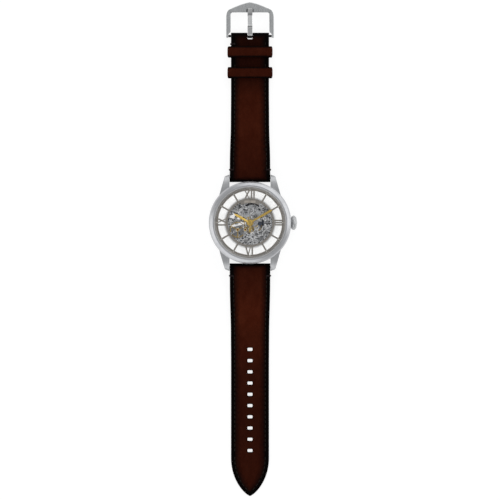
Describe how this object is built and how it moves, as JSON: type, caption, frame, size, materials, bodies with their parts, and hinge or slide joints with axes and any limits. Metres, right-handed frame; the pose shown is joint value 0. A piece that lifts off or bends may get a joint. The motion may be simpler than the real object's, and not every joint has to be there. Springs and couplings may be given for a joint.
{
  "type": "skeleton wristwatch",
  "caption": "Automatic skeleton wristwatch with openworked dial, pierced movement, crown and tapered leather strap with pin buckle.",
  "frame": {"origin": "centre of the case back's outer face, which the watch lies on", "axes": "+Z out of the dial, +Y to 12 o'clock along the buckle half of the strap, +X to the crown"},
  "size_m": [0.0473, 0.2648, 0.0115],
  "materials": {
    "brushed_steel": "brushed",
    "clear_plastic": "clear",
    "dark_ring": "satin",
    "dial_metal": "satin",
    "gilt": "gilt",
    "glass": "clear",
    "leather": "smooth",
    "nickel_plate": "engraved",
    "pale_dots": "satin",
    "polished_steel": "polished",
    "rubber": "matt",
    "ruby": "polished"
  },
  "bodies": {
    "case": {"mid_case": "brushed_steel", "bezel": "brushed_steel", "crystal": "glass", "crystal_gasket": "rubber", "rehaut_ring": "dark_ring", "case_back": "brushed_steel", "back_crystal": "glass", "back_gasket": "rubber", "crown_tube": "brushed_steel", "dial": "dial_metal", "hour_markers": "pale_dots", "movement_holder": "clear_plastic", "main_plate": "nickel_plate", "barrel_bridge": "nickel_plate", "train_bridge": "nickel_plate", "balance_cock": "nickel_plate", "regulator": "polished_steel", "pallet_bridge": "nickel_plate", "automatic_bridge": "nickel_plate", "jewels": "ruby", "movement_screws": "polished_steel", "rotor_bearing": "polished_steel", "lug_spring_bars": "polished_steel"},
    "minute": {"centre_wheel": "gilt", "cannon_pinion": "polished_steel", "minute_hand": "gilt"},
    "barrel": {"barrel_drum": "gilt", "barrel_cover": "gilt", "mainspring": "polished_steel"},
    "ratchet": {"ratchet_wheel": "polished_steel", "barrel_arbor": "polished_steel"},
    "third": {"third_wheel": "gilt"},
    "fourth": {"fourth_wheel": "gilt", "seconds_hand": "gilt"},
    "escape": {"escape_wheel": "polished_steel"},
    "pallet": {"pallet_fork": "polished_steel"},
    "balance": {"balance_wheel": "gilt", "hairspring": "polished_steel"},
    "motion": {"minute_wheel": "gilt"},
    "hour": {"hour_wheel": "gilt", "hour_hand": "gilt"},
    "setting": {"setting_wheel": "polished_steel"},
    "rotor": {"rotor": "nickel_plate"},
    "reversing": {"reversing_wheel": "gilt"},
    "reduction": {"reduction_wheel": "gilt"},
    "winding": {"winding_pinion": "polished_steel"},
    "crown": {"stem": "polished_steel", "crown": "brushed_steel"},
    "crown_wheel": {"crown_wheel": "polished_steel"},
    "click": {"click": "polished_steel"},
    "clutch": {"clutch_wheel": "polished_steel"},
    "setting_lever": {"setting_lever": "polished_steel"},
    "yoke": {"yoke": "polished_steel"},
    "strap_12": {"strap_buckle_side": "leather", "fixed_keeper": "leather", "buckle_spring_bar": "polished_steel"},
    "sliding_keeper": {"sliding_keeper": "leather"},
    "buckle": {"buckle_frame": "brushed_steel"},
    "tongue": {"buckle_tongue": "brushed_steel"},
    "strap_6": {"strap_tip_side": "leather"}
  },
  "joints": [
    {"name": "seconds_spin", "type": "hinge", "parent": "case", "child": "fourth", "pos_m": [0, 0, 0.0045], "axis": [0, 0, 1], "continuous": true},
    {"name": "minute_spin", "type": "hinge", "parent": "case", "child": "minute", "pos_m": [0, 0, 0.006], "axis": [0, 0, 1], "continuous": true},
    {"name": "barrel_spin", "type": "hinge", "parent": "case", "child": "barrel", "pos_m": [0.00108, 0.00615, 0.0057], "axis": [0, 0, 1], "continuous": true},
    {"name": "third_spin", "type": "hinge", "parent": "case", "child": "third", "pos_m": [0.00326, -0.00152, 0.0048], "axis": [0, 0, 1], "continuous": true},
    {"name": "escape_spin", "type": "hinge", "parent": "case", "child": "escape", "pos_m": [0, -0.00352, 0.0053], "axis": [0, 0, 1], "continuous": true},
    {"name": "motion_wheel_spin", "type": "hinge", "parent": "case", "child": "motion", "pos_m": [0.00239, -0.00025, 0.0075], "axis": [0, 0, 1], "continuous": true},
    {"name": "hour_spin", "type": "hinge", "parent": "case", "child": "hour", "pos_m": [0, 0, 0.008], "axis": [0, 0, 1], "continuous": true},
    {"name": "setting_wheel_spin", "type": "hinge", "parent": "case", "child": "setting", "pos_m": [0.00536, -0.00062, 0.0075], "axis": [0, 0, 1], "continuous": true},
    {"name": "pallet_rock", "type": "hinge", "parent": "case", "child": "pallet", "pos_m": [-0.00254, -0.00363, 0.0054], "axis": [0, 0, 1], "range_deg": [-5, 5]},
    {"name": "balance_swing", "type": "hinge", "parent": "case", "child": "balance", "pos_m": [-0.00658, -0.0038, 0.0046], "axis": [0, 0, 1], "range_deg": [-150, 150], "deforming": ["hairspring"]},
    {"name": "rotor_spin", "type": "hinge", "parent": "case", "child": "rotor", "pos_m": [0, 0, 0.002], "axis": [0, 0, 1], "continuous": true},
    {"name": "reversing_spin", "type": "hinge", "parent": "case", "child": "reversing", "pos_m": [-0.00333, 0.00192, 0.0023], "axis": [0, 0, 1], "continuous": true},
    {"name": "reduction_spin", "type": "hinge", "parent": "case", "child": "reduction", "pos_m": [-0.00469, 0.00459, 0.003], "axis": [0, 0, 1], "continuous": true},
    {"name": "crown_turn", "type": "hinge", "parent": "case", "child": "winding", "pos_m": [0.0102, 0, 0.0046], "axis": [1, 0, 0], "continuous": true},
    {"name": "crown_pull", "type": "slide", "parent": "winding", "child": "crown", "axis": [1, 0, 0], "range_m": [0, 0.0009]},
    {"name": "clutch_slide", "type": "slide", "parent": "winding", "child": "clutch", "axis": [1, 0, 0], "range_m": [-0.00075, 0]},
    {"name": "setting_lever_turn", "type": "hinge", "parent": "case", "child": "setting_lever", "pos_m": [0.0118, -0.0024, 0.0075], "axis": [0, 0, 1], "range_deg": [-21.3, 0]},
    {"name": "yoke_turn", "type": "hinge", "parent": "case", "child": "yoke", "pos_m": [0.00916, 0.0034, 0.0075], "axis": [0, 0, 1], "range_deg": [-12.8, 0]},
    {"name": "crown_wheel_spin", "type": "hinge", "parent": "case", "child": "crown_wheel", "pos_m": [0.00651, 0, 0.0035], "axis": [0, 0, 1], "continuous": true},
    {"name": "ratchet_spin", "type": "hinge", "parent": "case", "child": "ratchet", "pos_m": [0.00108, 0.00615, 0.0035], "axis": [0, 0, 1], "continuous": true},
    {"name": "click_lift", "type": "hinge", "parent": "case", "child": "click", "pos_m": [0.00638, 0.00896, 0.0035], "axis": [0, 0, 1], "range_deg": [0, 12]},
    {"name": "strap_12_hinge", "type": "hinge", "parent": "case", "child": "strap_12", "pos_m": [0, 0.0241, 0.0034], "axis": [1, 0, 0], "range_deg": [-80, 80]},
    {"name": "keeper_slide", "type": "slide", "parent": "strap_12", "child": "sliding_keeper", "axis": [0, 1, 0], "range_m": [-0.03, 0.0045]},
    {"name": "buckle_hinge", "type": "hinge", "parent": "strap_12", "child": "buckle", "pos_m": [0, 0.1001, 0.00235], "axis": [1, 0, 0], "range_deg": [-80, 25]},
    {"name": "tongue_hinge", "type": "hinge", "parent": "buckle", "child": "tongue", "pos_m": [0, 0.1001, 0.00235], "axis": [1, 0, 0], "range_deg": [0, 55]},
    {"name": "strap_6_hinge", "type": "hinge", "parent": "case", "child": "strap_6", "pos_m": [0, -0.0241, 0.0034], "axis": [-1, 0, 0], "range_deg": [-80, 80]}
  ],
  "couplings": [
    {"joint": "minute_spin", "follows": "seconds_spin", "ratio": 0.016667},
    {"joint": "third_spin", "follows": "seconds_spin", "ratio": -0.13333},
    {"joint": "barrel_spin", "follows": "seconds_spin", "ratio": -0.002381},
    {"joint": "escape_spin", "follows": "seconds_spin", "ratio": -9},
    {"joint": "motion_wheel_spin", "follows": "seconds_spin", "ratio": -0.0055556},
    {"joint": "hour_spin", "follows": "seconds_spin", "ratio": 0.0013889},
    {"joint": "setting_wheel_spin", "follows": "seconds_spin", "ratio": 0.0083333},
    {"joint": "crown_wheel_spin", "follows": "crown_turn", "ratio": 0.30556},
    {"joint": "ratchet_spin", "follows": "crown_turn", "ratio": -0.23913},
    {"joint": "reversing_spin", "follows": "rotor_spin", "ratio": -1.1333},
    {"joint": "reduction_spin", "follows": "rotor_spin", "ratio": 0.28333},
    {"joint": "clutch_slide", "follows": "crown_pull", "ratio": -0.83333},
    {"joint": "setting_lever_turn", "follows": "crown_pull", "rad_per_m": -411.88},
    {"joint": "yoke_turn", "follows": "crown_pull", "rad_per_m": -247.13}
  ]
}
